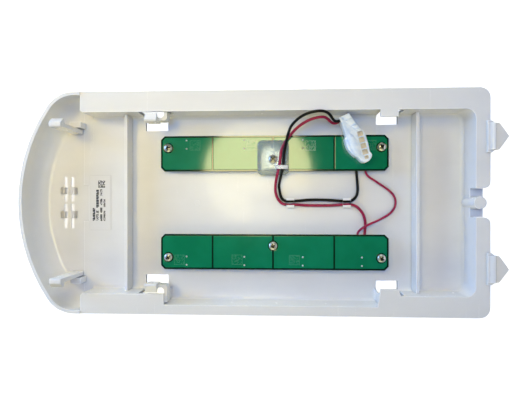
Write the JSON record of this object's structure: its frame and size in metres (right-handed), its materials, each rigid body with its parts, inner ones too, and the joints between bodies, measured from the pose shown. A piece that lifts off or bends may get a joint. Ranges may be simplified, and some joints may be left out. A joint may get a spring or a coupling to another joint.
{
  "type": "wall battery unit cover",
  "caption": "Clip-on cover of a wall battery unit, laid on its front face: two LED boards, their leads and plug, ribs, windows, tabs and flexing snap hooks.",
  "frame": {"origin": "centre of the cover's footprint, on the plane its front face rests on", "axes": "+X towards the square end with the two arrow tabs, +Z out of the open back, +Y towards the upper long side"},
  "size_m": [0.3156, 0.146, 0.034],
  "materials": {
    "cover_plastic": "glossy warm white ABS moulding",
    "hook_plastic": "glossy warm white ABS, moulded with the cover",
    "circuit_board": "green solder mask over glass-epoxy",
    "lens_plastic": "frosted clear polycarbonate",
    "nylon": "natural white nylon",
    "led_package": "yellow phosphor in a white package",
    "screw_steel": "nickel-plated pan head",
    "clear_plastic": "clear polycarbonate sheet",
    "tie_plastic": "translucent natural nylon",
    "clip_plastic": "white, moulded with the floor",
    "black_insulation": "satin black PVC insulation",
    "red_insulation": "satin dark red PVC insulation",
    "contact_brass": "tinned brass crimp contact",
    "badge_plastic": "translucent plain trim",
    "label_paper": null
  },
  "bodies": {
    "cover": {"cover_shell": "cover_plastic", "led_board_upper": "circuit_board", "lens_strip_upper": "lens_plastic", "wire_header_upper": "nylon", "led_upper_1": "led_package", "led_upper_2": "led_package", "led_upper_3": "led_package", "led_upper_4": "led_package", "screw_upper_left": "screw_steel", "screw_upper_mid": "screw_steel", "screw_upper_right": "screw_steel", "led_board_lower": "circuit_board", "lens_strip_lower": "lens_plastic", "wire_header_lower": "nylon", "led_lower_1": "led_package", "led_lower_2": "led_package", "led_lower_3": "led_package", "led_lower_4": "led_package", "screw_lower_left": "screw_steel", "screw_lower_mid": "screw_steel", "screw_lower_right": "screw_steel", "board_retainer": "clear_plastic", "lead_tie": "tie_plastic", "wire_clip_left": "clip_plastic", "wire_clip_right": "clip_plastic", "black_lead": "black_insulation", "red_lead": "red_insulation", "red_jumper": "red_insulation", "plug_housing": "nylon", "plug_contact_lower": "contact_brass", "plug_contact_upper": "contact_brass", "front_badge": "badge_plastic", "rating_label": "label_paper"},
    "tall_hook_upper": {"tall_hook_upper": "hook_plastic"},
    "tall_hook_lower": {"tall_hook_lower": "hook_plastic"},
    "side_hook_upper": {"side_hook_upper": "hook_plastic"},
    "side_hook_lower": {"side_hook_lower": "hook_plastic"}
  },
  "joints": [
    {"name": "tall_hook_upper_flex", "type": "hinge", "parent": "cover", "child": "tall_hook_upper", "pos_m": [-0.1271, 0.0485, 0.0045], "axis": [1, 0, 0], "range_deg": [0, 4.5], "stiffness_Nm_per_rad": 0.2},
    {"name": "tall_hook_lower_flex", "type": "hinge", "parent": "cover", "child": "tall_hook_lower", "pos_m": [-0.1271, -0.0485, 0.0045], "axis": [-1, 0, 0], "range_deg": [0, 4.5], "stiffness_Nm_per_rad": 0.2},
    {"name": "side_hook_upper_flex", "type": "hinge", "parent": "cover", "child": "side_hook_upper", "pos_m": [-0.0603, 0.0645, 0.0176], "axis": [0, 0, 1], "range_deg": [0, 6], "stiffness_Nm_per_rad": 0.2},
    {"name": "side_hook_lower_flex", "type": "hinge", "parent": "cover", "child": "side_hook_lower", "pos_m": [-0.0603, -0.0645, 0.0176], "axis": [0, 0, -1], "range_deg": [0, 6], "stiffness_Nm_per_rad": 0.2}
  ]
}
